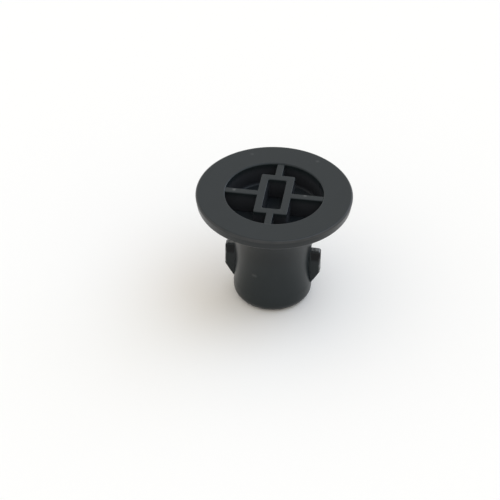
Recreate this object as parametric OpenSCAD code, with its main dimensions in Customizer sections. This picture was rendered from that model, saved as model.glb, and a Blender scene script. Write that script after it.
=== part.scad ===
// Push-in cover for a mounting hole in a vehicle bumper, moulded in one piece of black plastic.
// Origin at the centre of the foot ring, +Z up to the flange face, the two snap fins along X.

/* [Flange] */
// Height from the foot to the flange face
overall_h = 23.4; // [21:0.2:27]
// Diameter of the round flange
flange_d = 30; // [28:0.5:34]
// Thickness of the flange at its rim
flange_t = 2.2; // [1.6:0.1:2.6]
// Draft of the side of the rim in degrees
rim_draft = 16; // [4:1:20]
// Rounding of the upper edge of the rim
rim_round = 0.45; // [0.2:0.05:0.7]
// Rounding of the lower edge of the rim
edge_round = 0.2; // [0.1:0.05:0.4]

/* [Neck] */
// Diameter of the straight land that centres the neck in its hole
spigot_d = 15; // [14:0.1:16]
// Length of that land
spigot_l = 1.2; // [0.8:0.1:1.6]
// How far the waist lies inside the land on each side
waist_relief = 0.3; // [0.2:0.05:0.6]
// Height of the waist above the foot
waist_h = 7.8; // [7.4:0.2:9]
// Radius of the slow flare above the waist
flare_r = 28; // [24:1:32]
// Slope of the cone between that flare and the rim in degrees
cone_slope = 39; // [36:1:42]
// Height of the rounded lip below the land
lip_h = 1.9; // [1.5:0.1:1.9]
// Radius of that lip
lip_r = 2; // [2:0.1:2.4]
// Wall of the hollow neck at the waist
neck_wall = 1.6; // [1.4:0.1:2]
// Draft of the hollow in degrees
hollow_draft = 0.5; // [0.25:0.25:1]
// Rounding at the blind end of the hollow
hollow_round = 0.6; // [0.3:0.1:1]

/* [Cup] */
// Diameter of the cup
cup_d = 18.8; // [18:0.2:19.2]
// Depth of the cup below the flange face
cup_depth = 4.6; // [4:0.1:4.8]
// Thickness of the web between the cup and the hollow neck
web_t = 1.5; // [1.2:0.1:2]
// Rounding of the mouth of the cup
mouth_round = 0.3; // [0.1:0.05:0.4]
// Rounding between the wall of the cup and its floor
floor_round = 0.5; // [0.2:0.1:0.8]

/* [Ribs and frame] */
// Thickness of the four ribs
rib_t = 1.4; // [1:0.1:2]
// Thickness of the frame round the slot
frame_t = 1.5; // [1:0.1:2]
// How far the tops of the ribs lie below the flange face
rib_drop = 0.2; // [0.1:0.05:0.5]
// Width of the slot inside the frame
slot_w = 3.5; // [2.5:0.25:4.5]
// Length of the slot
slot_l = 9; // [7:0.5:10]
// Rounding of the upright corners of the frame
frame_round = 0.4; // [0.2:0.1:0.8]

/* [Snap fins] */
// How far each fin stands out beyond the land
latch_depth = 1.7; // [1.2:0.05:2.2]
// Height of the latch faces above the waist
latch_rise = 2.9; // [2:0.1:3.2]
// Thickness of the fins
fin_t = 1.5; // [1.1:0.1:2]
// Lean of the ramp below each fin, measured from upright in degrees
ramp_angle = 31; // [26:1:40]
// Rounding of the outer corner of the latch faces, seen from the side
fin_round = 0.4; // [0.2:0.05:0.5]
// Rounding of the upright edges of the fins
fin_edge = 0.15; // [0.1:0.05:0.4]

/* [Hidden] */
$fn = 96;
// Overlap that fuses the ribs into the shell
fuse = 0.3;
// Length by which a cut runs past the surface it opens
past = 1;

flange_r = flange_d / 2;
spigot_r = spigot_d / 2;
waist_r = spigot_r - waist_relief;
land_top = lip_h + spigot_l;

// Both rounds of the rim touch its drafted side, so their centres lie along it
round_x = flange_r - rim_round;
round_z = overall_h - rim_round;
edge_z = overall_h - flange_t + edge_round;
edge_x = round_x + (rim_round - edge_round) / cos(rim_draft) - (round_z - edge_z) * tan(rim_draft);

// The cone that carries the cup falls from the lower edge of the rim to the axis
rim_foot = overall_h - flange_t;
cone_foot = rim_foot - edge_x * tan(cone_slope);

// A second, flatter arc runs from the waist down to the land
relief_drop = waist_h - land_top;
relief_r = (waist_relief * waist_relief + relief_drop * relief_drop) / (2 * waist_relief);

cup_r = cup_d / 2;
cup_floor = overall_h - cup_depth;
hollow_top = cup_floor - web_t;
function hollow_at(z) = waist_r - neck_wall + (waist_h - z) * tan(hollow_draft);

frame_w = slot_w + 2 * frame_t;
frame_l = slot_l + 2 * frame_t;

fin_r = spigot_r + latch_depth;
fin_root = waist_r - neck_wall / 2;
fin_top = waist_h + latch_rise;
ramp_top = land_top + latch_depth / tan(ramp_angle);
ramp_foot = land_top - (spigot_r - fin_root) / tan(ramp_angle);

// Rectangle in the middle of the plane with round corners
module round_rect(w, l, r) {
    square([w - 2 * r, l], center = true);
    square([w, l - 2 * r], center = true);
    for (x = [-1, 1], y = [-1, 1])
        translate([x * (w / 2 - r), y * (l / 2 - r)])
            circle(r);
}

// Half section of the flange: its drafted side touches a round above and a smaller one below
module rim_section() {
    side = [cos(rim_draft), -sin(rim_draft)];
    polygon([
        [0, overall_h],
        [round_x, overall_h],
        [round_x, round_z] + rim_round * side,
        [edge_x, edge_z] + edge_round * side,
        [edge_x, edge_z - edge_round],
        [0, edge_z - edge_round]
    ]);
    translate([round_x, round_z])
        circle(rim_round);
    translate([edge_x, edge_z])
        circle(edge_round);
}

// Half section of the trumpet between the waist and the rim: a slow flare, then the cone
module flare_section() {
    difference() {
        translate([0, waist_h])
            square([edge_x, rim_foot - waist_h]);
        translate([waist_r + flare_r, waist_h])
            circle(flare_r, $fn = 4 * $fn);
    }
    polygon([
        [0, cone_foot],
        [edge_x, rim_foot],
        [0, rim_foot]
    ]);
}

// Half section of the neck below the waist, with its land and its lip
module spigot_section() {
    difference() {
        square([spigot_r, waist_h]);
        translate([waist_r + relief_r, waist_h])
            circle(relief_r, $fn = 8 * $fn);
        difference() {
            translate([spigot_r - lip_r, -past])
                square([lip_r + past, lip_h + past]);
            translate([spigot_r - lip_r, lip_h])
                circle(lip_r);
        }
    }
}

// Half section of the cup that is cut into the flange face
module cup_section() {
    translate([0, cup_floor + floor_round])
        square([cup_r, cup_depth - floor_round + past]);
    translate([0, cup_floor])
        square([cup_r - floor_round, floor_round + past]);
    translate([cup_r - floor_round, cup_floor + floor_round])
        circle(floor_round);
    difference() {
        translate([0, overall_h - mouth_round])
            square([cup_r + mouth_round, mouth_round + past]);
        translate([cup_r + mouth_round, overall_h - mouth_round])
            circle(mouth_round);
    }
}

// Half section of the hollow that opens at the foot
module hollow_section() {
    shoulder = hollow_top - hollow_round;
    polygon([
        [0, -past],
        [hollow_at(-past), -past],
        [hollow_at(shoulder), shoulder],
        [hollow_at(shoulder) - hollow_round, hollow_top],
        [0, hollow_top]
    ]);
    translate([hollow_at(shoulder) - hollow_round, shoulder])
        circle(hollow_round);
}

module shell() {
    rotate_extrude() {
        difference() {
            union() {
                rim_section();
                flare_section();
                spigot_section();
            }
            cup_section();
            hollow_section();
        }
    }
}

// Cross of four ribs round the framed slot, all standing on the floor of the cup
module ribs() {
    translate([0, 0, cup_floor - fuse])
        linear_extrude(height = cup_depth - rib_drop + fuse) {
            difference() {
                union() {
                    round_rect(frame_w, frame_l, frame_round);
                    square([2 * (cup_r + fuse), rib_t], center = true);
                    square([rib_t, 2 * (cup_r + fuse)], center = true);
                }
                round_rect(slot_w, slot_l, frame_round);
            }
        }
}

// Side view of one fin: flat latch face on top, ramp below
module fin_side() {
    polygon([
        [fin_root, fin_top],
        [fin_r - fin_round, fin_top],
        [fin_r, fin_top - fin_round],
        [fin_r, ramp_top],
        [fin_root, ramp_foot]
    ]);
    translate([fin_r - fin_round, fin_top - fin_round])
        circle(fin_round);
}

module fin() {
    intersection() {
        rotate([90, 0, 0])
            linear_extrude(height = fin_t + 2 * past, center = true)
                fin_side();
        translate([0, 0, -past])
            linear_extrude(height = fin_top + 2 * past)
                round_rect(2 * fin_r, fin_t, fin_edge);
    }
}

module mount_cover() {
    color([0.2, 0.2, 0.21])
        union() {
            shell();
            ribs();
            fin();
            mirror([1, 0, 0])
                fin();
        }
}

mount_cover();
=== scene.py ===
import bmesh
import bpy
import numpy as np
from mathutils import Matrix, Vector


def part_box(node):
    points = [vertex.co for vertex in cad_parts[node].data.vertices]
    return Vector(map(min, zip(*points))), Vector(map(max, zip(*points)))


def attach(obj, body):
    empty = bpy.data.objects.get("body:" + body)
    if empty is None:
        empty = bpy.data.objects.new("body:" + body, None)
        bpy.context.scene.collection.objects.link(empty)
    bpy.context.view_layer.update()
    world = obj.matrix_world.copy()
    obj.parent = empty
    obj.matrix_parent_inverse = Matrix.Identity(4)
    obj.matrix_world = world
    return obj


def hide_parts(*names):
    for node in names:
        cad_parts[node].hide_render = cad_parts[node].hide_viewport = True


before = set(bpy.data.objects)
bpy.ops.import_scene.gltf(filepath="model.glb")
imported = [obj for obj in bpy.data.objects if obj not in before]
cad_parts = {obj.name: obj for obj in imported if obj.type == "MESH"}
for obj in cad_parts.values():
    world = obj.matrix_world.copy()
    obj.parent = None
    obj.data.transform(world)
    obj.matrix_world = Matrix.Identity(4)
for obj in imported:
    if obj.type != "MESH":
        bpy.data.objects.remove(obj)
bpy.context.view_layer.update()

# The shell of the cover: flange, cup, trumpet neck and hollow.
# It is one wall of injection-moulded black plastic, drawn off its mould along the axis,
# so its whole section is turned about Z, and every edge of the mould leaves a small round.
mm = 0.001
flange_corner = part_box("mount_cover")[1]
flange_r = flange_corner.x
overall_h = flange_corner.z
flange_t = 2.2 * mm
rim_draft = 10
rim_round = 0.45 * mm
edge_round = 0.5 * mm
spigot_r = 7.5 * mm
spigot_l = 1.2 * mm
waist_r = spigot_r - 0.3 * mm
waist_h = 7.8 * mm
flare_r = 28 * mm
cone_slope = np.radians(39)
lip_h = 1.9 * mm
lip_r = 2.0 * mm
neck_wall = 1.6 * mm
foot_round = 0.12 * mm
hollow_draft = np.tan(np.radians(0.5))
hollow_round = 0.6 * mm
cup_r = 9.4 * mm
cup_depth = 4.6 * mm
web_t = 1.5 * mm
mouth_round = 0.3 * mm
floor_round = 0.5 * mm
shell_turns = 288


def arc(centre, radius, start, end, steps):
    """Points centre + radius (cos a, sin a), with a from start to end in degrees."""
    a = np.radians(np.linspace(start, end, steps + 1))
    return np.stack([centre[0] + radius * np.cos(a), centre[1] + radius * np.sin(a)], axis=1)


def turned(section, turns):
    """Surface (r cos t, r sin t, z) of a section (r, z) that starts and ends on the axis.

    Rings of quads join the points between, and a fan of triangles closes each pole.
    """
    ring = section[1:-1]
    t = np.linspace(0, 2 * np.pi, turns, endpoint=False)
    grid = np.stack([
        ring[:, :1] * np.cos(t),
        ring[:, :1] * np.sin(t),
        np.repeat(ring[:, 1:], turns, axis=1),
    ], axis=2).reshape(-1, 3)
    poles = np.array([[0, 0, section[0, 1]], [0, 0, section[-1, 1]]])
    i = np.arange(len(ring) - 1)[:, None] * turns
    j = np.arange(turns)
    k = (j + 1) % turns
    quads = np.stack([i + j, i + turns + j, i + turns + k, i + k], axis=2).reshape(-1, 4)
    first, last = len(grid), len(grid) + 1
    end = (len(ring) - 1) * turns
    fans = np.concatenate([
        np.stack([np.full(turns, first), j, k], axis=1),
        np.stack([end + j, np.full(turns, last), end + k], axis=1),
    ])
    return np.concatenate([grid, poles]), quads.tolist() + fans.tolist()


def solid(name, points, faces):
    """Closed mesh object at the origin, with its faces turned outwards."""
    mesh = bpy.data.meshes.new(name)
    mesh.from_pydata(points.tolist(), [], faces)
    shape = bmesh.new()
    shape.from_mesh(mesh)
    bmesh.ops.recalc_face_normals(shape, faces=shape.faces)
    shape.to_mesh(mesh)
    shape.free()
    made = bpy.data.objects.new(name, mesh)
    bpy.context.scene.collection.objects.link(made)
    return made


# Both rounds of the rim touch its drafted side, so their centres lie along it
draft = np.radians(rim_draft)
round_x, round_z = flange_r - rim_round, overall_h - rim_round
edge_z = overall_h - flange_t + edge_round
edge_x = round_x + (rim_round - edge_round) / np.cos(draft) - (round_z - edge_z) * np.tan(draft)

# The cone falls from the lower edge of the rim until it meets the slow flare above the waist
rim_foot = np.array([edge_x, overall_h - flange_t])
flare_centre = np.array([waist_r + flare_r, waist_h])
fall = -np.array([np.cos(cone_slope), np.sin(cone_slope)])
reach = rim_foot - flare_centre
cone_l = np.sqrt((reach @ fall)**2 - reach @ reach + flare_r**2) - reach @ fall
flare_top = rim_foot + cone_l * fall - flare_centre
flare_sweep = np.degrees(np.arctan2(flare_top[1], -flare_top[0]))

# Below the waist a flatter arc runs out to the straight land, and the lip rounds in to the foot
land_top = lip_h + spigot_l
relief, relief_drop = spigot_r - waist_r, waist_h - land_top
relief_r = (relief**2 + relief_drop**2) / (2 * relief)
relief_sweep = np.degrees(np.arcsin(relief_drop / relief_r))
lip_sweep = np.degrees(np.arcsin(lip_h / lip_r))

cup_floor = overall_h - cup_depth
hollow_top = cup_floor - web_t
hollow_foot_r = waist_r - neck_wall + waist_h * hollow_draft
hollow_top_r = hollow_foot_r - hollow_top * hollow_draft
shell_section = np.concatenate([
    [[0, cup_floor], [cup_r / 2, cup_floor]],
    arc((cup_r - floor_round, cup_floor + floor_round), floor_round, -90, 0, steps=6),
    arc((cup_r + mouth_round, overall_h - mouth_round), mouth_round, 180, 90, steps=8),
    arc((round_x, round_z), rim_round, 90, -rim_draft, steps=12),
    arc((edge_x, edge_z), edge_round, -rim_draft, -90, steps=8),
    arc(flare_centre, flare_r, 180 - flare_sweep, 180, steps=48),
    arc((waist_r + relief_r, waist_h), relief_r, 180, 180 + relief_sweep, steps=12)[1:],
    arc((spigot_r - lip_r, lip_h), lip_r, 0, -lip_sweep, steps=20),
    arc((hollow_foot_r + foot_round, foot_round), foot_round, -90, -180, steps=4),
    arc((hollow_top_r - hollow_round, hollow_top - hollow_round), hollow_round, 0, 90, steps=8),
    [[0, hollow_top]],
])
cover = solid("mount_cover_moulding", *turned(shell_section, shell_turns))

# The frame round the slot and the cross of ribs that ties it to the wall of the cup.
# They are part of the same shot of plastic and stand on the floor of the cup,
# with tops a touch below the flange face and edges softened by the mould.
rib_t = 1.4 * mm
frame_t = 1.5 * mm
rib_drop = 0.2 * mm
rib_edge = 0.18 * mm
rib_corner = 1.1 * rib_edge
slot_w = 3.5 * mm
slot_l = 9.0 * mm
frame_round = 0.4 * mm
fuse = 0.3 * mm
edge_steps = 5
corner_steps = 6


def rounded_outline(corners, radius, inset):
    """Outline of a polygon, drawn anticlockwise, with round corners, moved inwards by inset.

    At a corner c with unit sides u and v, left normals n(u) and n(v) and turn f, the centre of
    the arc lies at c + radius (n(u) + n(v)) / (1 + u.v), and its points are that centre minus
    (radius - inset) n(u) turned by 0 to f.
    """
    c = np.asarray(corners, float)
    u = c - np.roll(c, 1, axis=0)
    u /= np.linalg.norm(u, axis=1, keepdims=True)
    v = np.roll(u, -1, axis=0)
    n_u = np.stack([-u[:, 1], u[:, 0]], axis=1)
    n_v = np.stack([-v[:, 1], v[:, 0]], axis=1)
    cosine = (u * v).sum(axis=1, keepdims=True)
    sine = u[:, :1] * v[:, 1:] - u[:, 1:] * v[:, :1]
    a = np.arctan2(sine, cosine) * np.linspace(0, 1, corner_steps + 1)
    r = radius - inset
    centre = c + radius * (n_u + n_v) / (1 + cosine)
    x = centre[:, :1] - r * (n_u[:, :1] * np.cos(a) - n_u[:, 1:] * np.sin(a))
    y = centre[:, 1:] - r * (n_u[:, :1] * np.sin(a) + n_u[:, 1:] * np.cos(a))
    return np.stack([x.ravel(), y.ravel()], axis=1)


def lofted(rings, closed):
    """Surface through rings of points, an array of (rings, points, 3).

    A closed loft joins its last ring to its first, and an open one has a flat face at each end.
    """
    count, turns = rings.shape[:2]
    i = (np.arange(count if closed else count - 1) * turns)[:, None]
    j = np.arange(turns)
    k = (j + 1) % turns
    up = (i + turns) % (count * turns)
    faces = np.stack([i + j, up + j, up + k, i + k], axis=2).reshape(-1, 4).tolist()
    ends = [] if closed else [j.tolist(), ((count - 1) * turns + j).tolist()]
    return rings.reshape(-1, 3), faces + ends


def lifted(outline, level):
    """Outline (x, y) lifted to the height z = level."""
    return np.column_stack([outline, np.full(len(outline), level)])


def rectangle(x0, x1, y0, y1):
    """Corners of an upright rectangle, anticlockwise."""
    return [(x0, y0), (x1, y0), (x1, y1), (x0, y1)]


def quarter_round(radius):
    """Inset r (1 - cos a) and depth r (1 - sin a) of a quarter round, from the wall to the crown."""
    a = np.linspace(0, np.pi / 2, edge_steps + 1)
    return list(zip(radius * (1 - np.cos(a)), radius * (1 - np.sin(a))))


rib_foot = cup_floor - fuse
rib_top = overall_h - rib_drop


def crowned(corners, radius, lean):
    """Rings of an upright wall on rounded corners, with a quarter round at its crown.

    The crown leans inwards where lean is 1, as on a bar, and outwards where it is -1, as in a slot.
    """
    rings = [lifted(rounded_outline(corners, radius, 0), rib_foot)]
    for inset, depth in quarter_round(rib_edge):
        rings.append(lifted(rounded_outline(corners, radius, lean * inset), rib_top - depth))
    return rings


slot_x, slot_y = slot_w / 2, slot_l / 2
frame_x, frame_y = slot_x + frame_t, slot_y + frame_t
frame_rings = crowned(rectangle(-frame_x, frame_x, -frame_y, frame_y), frame_round, lean=1)
slot_rings = crowned(rectangle(-slot_x, slot_x, -slot_y, slot_y), frame_round, lean=-1)
slot_frame = solid("slot_frame", *lofted(np.array(frame_rings + slot_rings[::-1]), closed=True))


def rib(name, corners):
    """Upright bar on a rectangle, with a quarter round along the edges of its top."""
    return solid(name, *lofted(np.array(crowned(corners, rib_corner, lean=1)), closed=False))


rib_end = cup_r + fuse
half = rib_t / 2
ribs = [
    rib("rib_right", rectangle(frame_x - half, rib_end, -half, half)),
    rib("rib_left", rectangle(-rib_end, half - frame_x, -half, half)),
    rib("rib_back", rectangle(-half, half, frame_y - half, rib_end)),
    rib("rib_front", rectangle(-half, half, -rib_end, half - frame_y)),
]

# The two snap fins on the sides of the neck, thin blades moulded on with it.
# Each has a flat latch face on top, which catches behind the panel, and a ramp below
# that lets it slip through the hole.
latch_depth = 1.7 * mm
latch_rise = 2.9 * mm
fin_t = 1.5 * mm
fin_edge = 0.15 * mm
fin_corner = 0.45 * mm
ramp_slope = 1 / np.tan(np.radians(31))
fin_r = spigot_r + latch_depth
fin_root = waist_r - neck_wall / 2
fin_top = waist_h + latch_rise
ramp_top = land_top + latch_depth * ramp_slope
ramp_foot = land_top - (spigot_r - fin_root) * ramp_slope
fin_corners = [(fin_root, ramp_foot), (fin_r, ramp_top), (fin_r, fin_top), (fin_root, fin_top)]
fin_levels = [(i, d - fin_t / 2) for i, d in quarter_round(fin_edge)][::-1]
fin_levels += [(i, fin_t / 2 - d) for i, d in quarter_round(fin_edge)]


def snap_fin(name, side):
    """Side view of the fin carried across its thickness, with both its edges rounded."""
    rings = [lifted(rounded_outline(fin_corners, fin_corner, i), y) for i, y in fin_levels]
    upright = np.array(rings)[:, :, [0, 2, 1]]
    return solid(name, *lofted(upright * [side, 1, 1], closed=False))


fins = [snap_fin("snap_fin_right", 1), snap_fin("snap_fin_left", -1)]

# The moulding as it leaves the mould: shell, frame, ribs and fins are one piece of plastic,
# so the solids above are fused into one closed skin. Only its true edges stay sharp.
crease = np.radians(28)
features = [slot_frame, *ribs, *fins]
moulded_on = bpy.data.collections.new("moulded_on")
for feature in features:
    moulded_on.objects.link(feature)
fusing = cover.modifiers.new("fused", "BOOLEAN")
fusing.operation = "UNION"
fusing.solver = "EXACT"
fusing.operand_type = "COLLECTION"
fusing.collection = moulded_on
fused = cover.evaluated_get(bpy.context.evaluated_depsgraph_get())
cover.data = bpy.data.meshes.new_from_object(fused)
cover.modifiers.clear()
for feature in features:
    bpy.data.objects.remove(feature)
bpy.data.collections.remove(moulded_on)
cover.data.shade_smooth()
cover.data.set_sharp_from_angle(angle=crease)
evened = cover.modifiers.new("even_faces", "WEIGHTED_NORMAL")
evened.keep_sharp = True
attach(cover, "root")
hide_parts("mount_cover")

# The plastic: black polypropylene with a fine satin grain from the mould. Painted light pales the
# walls of the cup, less so its floor, and the rounded upper edge of the rim. Painted shade blackens
# the neck and flange below the face and the fins above their middle. Patchy painted light pales the
# latch faces and the lower outer ends of the fins, and small pale specks lie at listed points.
charcoal = (0.007, 0.0115, 0.013, 1)
charcoal_pale = (0.012, 0.0165, 0.0185, 1)
# The next colour paints shade under the flange and on the upper fins, and the three greys after it
# paint light in the cup, on the rim's upper edge and on the fins.
shade_black = (0.004, 0.005, 0.006, 1)
cup_light_grey = (0.029, 0.0315, 0.038, 1)
rim_light_grey = (0.036, 0.037, 0.038, 1)
fin_light_grey = (0.2, 0.21, 0.215, 1)
speck_grey = (0.1, 0.104, 0.107, 1)
satin = 0.24
mottle_rough = 0.1
grain_rough = 0.06
matte_rough = 0.4
plastic_ior = 1.37
grain_size = 0.16 * mm
grain_depth = 0.01 * mm
grain_strength = 0.35
mottle_size = 2.5 * mm
patch_size = 0.5 * mm
# Shares of the painted light in the cup that its floor gets, and of the painted shade on the neck.
cup_floor_light_share = 0.3
neck_shade_share = 0.5
# Pale specks at listed points on the neck, the tops of the side ribs and the back of the flange
# face, with the strength of each.
speck_r = 0.55 * mm
specks_mm = [
    ((-2.87, -6.57, 8.25), 0.3),
    ((-2.43, -6.75, 8.25), 0.3),
    ((-7.75, 0.15, 23.2), 0.7),
    ((5.87, 0.4, 23.2), 0.6),
    ((-5.93, 11.6, 23.4), 0.25),
    ((6.8, 11.3, 23.4), 0.3),
]

# Where each finish fades in: the place at which there is none of it, then where it is full
inside_cup = (cup_r + 0.15 * mm, cup_r)
above_web = (cup_floor - 0.2 * mm, cup_floor - 0.1 * mm)
below_ribs = (rib_top - 0.1 * mm, rib_top - 1.8 * mm)
off_floor = (cup_floor, cup_floor + 0.4 * mm)
above_waist = (waist_h + 2 * mm, waist_h + 6 * mm)
below_face = (overall_h - 0.3 * mm, overall_h - 0.7 * mm)
round_rim = (round_x + 0.1 * mm, round_x + 0.25 * mm)
upper_rim = (round_z - 0.2 * mm, round_z + 0.05 * mm)
off_neck = (fin_r - 1.8 * mm, fin_r - 1.7 * mm)
below_latch = (fin_top + 0.4 * mm, fin_top + 0.2 * mm)
latch_skin = (fin_top - 0.25 * mm, fin_top - 0.1 * mm)
latch_back = (-0.6 * mm, -0.2 * mm)
upper_fin = (fin_top - 2.6 * mm, fin_top - 1.8 * mm)
fin_end = (fin_r - 0.35 * mm, fin_r - 0.05 * mm)
lower_fin = (fin_top - 0.8 * mm, fin_top - 2.4 * mm)
patch_edge = (0.38, 0.62)


class Shade:
    """One output of a shader node. Arithmetic between shades and numbers adds Math nodes."""

    def __init__(self, tree, socket=None):
        self.tree = tree
        self.socket = socket

    def node(self, kind, settings, inputs, output=0):
        """Adds a node, applies its settings, fills or links its sockets, and gives one output."""
        made = self.tree.nodes.new(kind)
        for name, value in settings.items():
            setattr(made, name, value)
        for name, value in inputs.items():
            if isinstance(value, Shade):
                self.tree.links.new(value.socket, made.inputs[name])
            else:
                made.inputs[name].default_value = value
        return Shade(self.tree, made.outputs[output] if made.outputs else None)

    def math(self, operation, first, second):
        """Math node of two values."""
        return self.node("ShaderNodeMath", {"operation": operation}, {0: first, 1: second})

    def __add__(self, other):
        return self.math("ADD", self, other)

    def __sub__(self, other):
        return self.math("SUBTRACT", self, other)

    def __mul__(self, other):
        return self.math("MULTIPLY", self, other)

    def __radd__(self, other):
        return self.math("ADD", other, self)

    def __rsub__(self, other):
        return self.math("SUBTRACT", other, self)

    def __rmul__(self, other):
        return self.math("MULTIPLY", other, self)


def empty_material(name):
    """New material with a bare node tree."""
    made = bpy.data.materials.new(name)
    made.use_nodes = True
    made.node_tree.nodes.clear()
    return made, Shade(made.node_tree)


def noise(place, size, detail):
    """Noise from 0 to 1 whose patches are about size metres across."""
    inputs = {"Vector": place, "Scale": 1 / size, "Detail": detail}
    return place.node("ShaderNodeTexNoise", {}, inputs, "Fac")


def fade(value, band):
    """Soft step over a band, from 0 at its first end to 1 at its second, whichever is higher."""
    inputs = {"Value": value, "From Min": band[0], "From Max": band[1]}
    return value.node("ShaderNodeMapRange", {"interpolation_type": "SMOOTHSTEP"}, inputs)


def blend(factor, first, second):
    """Colour that runs from first to second as the factor runs from 0 to 1."""
    return factor.node("ShaderNodeMix", {"data_type": "RGBA"}, {0: factor, 6: first, 7: second}, 2)


plastic_skin, new = empty_material("satin_black_plastic")
spot = new.node("ShaderNodeTexCoord", {}, {}, "Object")
x, y, z = [new.node("ShaderNodeSeparateXYZ", {}, {"Vector": spot}, axis) for axis in "XYZ"]
out = new.math("ABSOLUTE", x, 0)
off_axis = new.math("SQRT", x * x + y * y, 0)
grain = noise(spot, grain_size, 3)
mottle = noise(spot, mottle_size, 4)
light_patches = fade(noise(spot, patch_size, 5), patch_edge)

in_cup = fade(off_axis, inside_cup) * fade(z, above_web)
# Painted light: the walls of the cup are painted paler from a little below the rib tops down, and
# its floor less so.
painted_cup_light = in_cup * fade(z, below_ribs) * (cup_floor_light_share + (1 - cup_floor_light_share) * fade(z, off_floor))
# Painted shade: outside the cup, everything from above the waist up to just below the flange face is
# painted darker.
painted_neck_shade = fade(z, above_waist) * fade(z, below_face) * (1 - in_cup)
# Painted light: the rounded upper outer edge of the rim is painted paler.
painted_rim_light = fade(off_axis, round_rim) * fade(z, upper_rim)
on_fin = fade(out, off_neck) * fade(z, below_latch)
latch = on_fin * fade(z, latch_skin)
# Painted shade: the upper part of each fin, except its latch face, is painted black.
painted_fin_shade = on_fin * fade(z, upper_fin) - latch
# Painted light: most of the latch face on top of each fin and the lower part of its outer end are
# painted paler, in patches.
painted_fin_light = latch * fade(y, latch_back) + fade(out, fin_end) * fade(z, lower_fin)

tint = blend(0.6 * mottle + 0.4 * grain, charcoal, charcoal_pale)
# Here the painted shade on the neck and fins and the painted light in the cup, on the rim and on the
# fins are mixed into the colour.
tint = blend(neck_shade_share * painted_neck_shade, tint, shade_black)
tint = blend(painted_cup_light * (0.7 + 0.3 * mottle), tint, cup_light_grey)
tint = blend(painted_rim_light * (0.3 + mottle), tint, rim_light_grey)
tint = blend(painted_fin_shade, tint, shade_black)
tint = blend(painted_fin_light * (0.25 + 0.75 * light_patches), tint, fin_light_grey)
for place, depth in specks_mm:
    inputs = {0: spot, 1: Vector(place) * mm}
    away = new.node("ShaderNodeVectorMath", {"operation": "DISTANCE"}, inputs, "Value")
    tint = blend(depth * fade(away, (speck_r, 0)) * (0.5 + grain), tint, speck_grey)
grain_bump = new.node("ShaderNodeBump", {}, {
    "Strength": grain_strength,
    "Distance": grain_depth,
    "Height": grain,
})
skin = new.node("ShaderNodeBsdfPrincipled", {}, {
    "Base Color": tint,
    "Roughness": satin + mottle_rough * mottle + grain_rough * grain + matte_rough * (painted_cup_light + painted_fin_shade),
    "IOR": plastic_ior,
    "Normal": grain_bump,
})
new.node("ShaderNodeOutputMaterial", {}, {"Surface": skin})
cover.data.materials.clear()
cover.data.materials.append(plastic_skin)

# The table: a sheet of plain white paper under the cover, far larger than the view.
# It is matt, so all that shows on it is the soft shadow of the cover.
paper_white = (0.95, 0.948, 0.942, 1)
paper_half = 2.0
paper = bpy.data.meshes.new("paper")
paper_corners = rectangle(-paper_half, paper_half, -paper_half, paper_half)
paper.from_pydata([(*corner, 0) for corner in paper_corners], [], [(0, 1, 2, 3)])
paper_skin, new = empty_material("white_paper")
sheet = new.node("ShaderNodeBsdfDiffuse", {}, {"Color": paper_white})
new.node("ShaderNodeOutputMaterial", {}, {"Surface": sheet})
paper.materials.append(paper_skin)
table = bpy.data.objects.new("paper_floor", paper)
bpy.context.scene.collection.objects.link(table)

# The light: a pale room with warm walls, which lights the cover from all round, and two weak,
# cool windows, one high on the right and one low behind it. The paper throws their light back
# up at the neck, and reflections show the room as plain white.
room_level = 0.9
room_tint = (1.05, 1.0, 0.92, 1)
room_white = (1, 1, 1, 1)
room = bpy.data.worlds.new("room")
bpy.context.scene.world = room
room.use_nodes = True
room.node_tree.nodes.clear()
new = Shade(room.node_tree)
seen = new.node("ShaderNodeLightPath", {}, {}, "Is Camera Ray")
seen += new.node("ShaderNodeLightPath", {}, {}, "Is Glossy Ray")
seen += new.node("ShaderNodeLightPath", {}, {}, "Is Transmission Ray")
glow = new.node("ShaderNodeBackground", {}, {
    "Color": blend(seen, room_tint, room_white),
    "Strength": room_level + (1 - room_level) * seen,
})
new.node("ShaderNodeOutputWorld", {}, {"Surface": glow})


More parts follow.
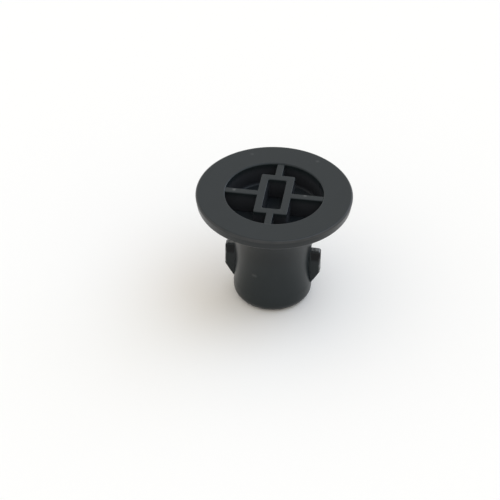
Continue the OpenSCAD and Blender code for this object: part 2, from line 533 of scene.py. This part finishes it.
def window(name, azimuth, elevation, spread, level, tint):
    """Far soft light; level is what it adds to the brightness of white paper that lies flat."""
    a, e = np.radians([azimuth, elevation])
    towards = Vector((np.cos(a) * np.cos(e), np.sin(a) * np.cos(e), np.sin(e)))
    lamp = bpy.data.lights.new(name, "SUN")
    lamp.energy = level * np.pi / np.sin(e)
    lamp.color = tint
    lamp.angle = np.radians(spread)
    made = bpy.data.objects.new(name, lamp)
    made.rotation_euler = towards.to_track_quat("Z", "Y").to_euler()
    bpy.context.scene.collection.objects.link(made)


window("window_right", azimuth=5, elevation=65, spread=50, level=0.11, tint=(0.65, 1.0, 1.45))
window("window_back", azimuth=45, elevation=25, spread=50, level=0.05, tint=(0.85, 1.0, 1.35))

# The camera: a long lens that looks down on the flange, turned a little off the fins.
# It is placed along the ray through the pixel in which the middle of the flange face lies,
# at a distance that gives the flange its width in the frame.
focal_px = 4000
frame_px = 500
sensor_mm = 36
view_turn = np.radians(7.8)
view_drop = np.radians(38.25)
view_roll = np.radians(0.9)
view_reach = 50.72 * flange_r
face_px = np.array([274.3, 193.15])
clip_near, clip_far = 0.05, 20
across = Vector((np.cos(view_turn), np.sin(view_turn), 0))
level_ahead = Vector((-np.sin(view_turn), np.cos(view_turn), 0))
ahead = level_ahead * np.cos(view_drop) - Vector((0, 0, np.sin(view_drop)))
top = across.cross(ahead)
right = across * np.cos(view_roll) + top * np.sin(view_roll)
up = top * np.cos(view_roll) - across * np.sin(view_roll)
offset = (face_px - frame_px / 2) / focal_px
ray = Vector((offset[0], -offset[1], -1)).normalized() * view_reach
turn = Matrix((right, up, -ahead)).transposed()
lens = bpy.data.cameras.new("camera")
lens.lens = focal_px * sensor_mm / frame_px
lens.sensor_width = sensor_mm
lens.clip_start = clip_near
lens.clip_end = clip_far
camera = bpy.data.objects.new("camera", lens)
camera.matrix_world = Matrix.Translation(Vector((0, 0, overall_h)) - turn @ ray) @ turn.to_4x4()
bpy.context.scene.collection.objects.link(camera)
bpy.context.scene.camera = camera
bpy.context.scene.view_settings.view_transform = "Standard"
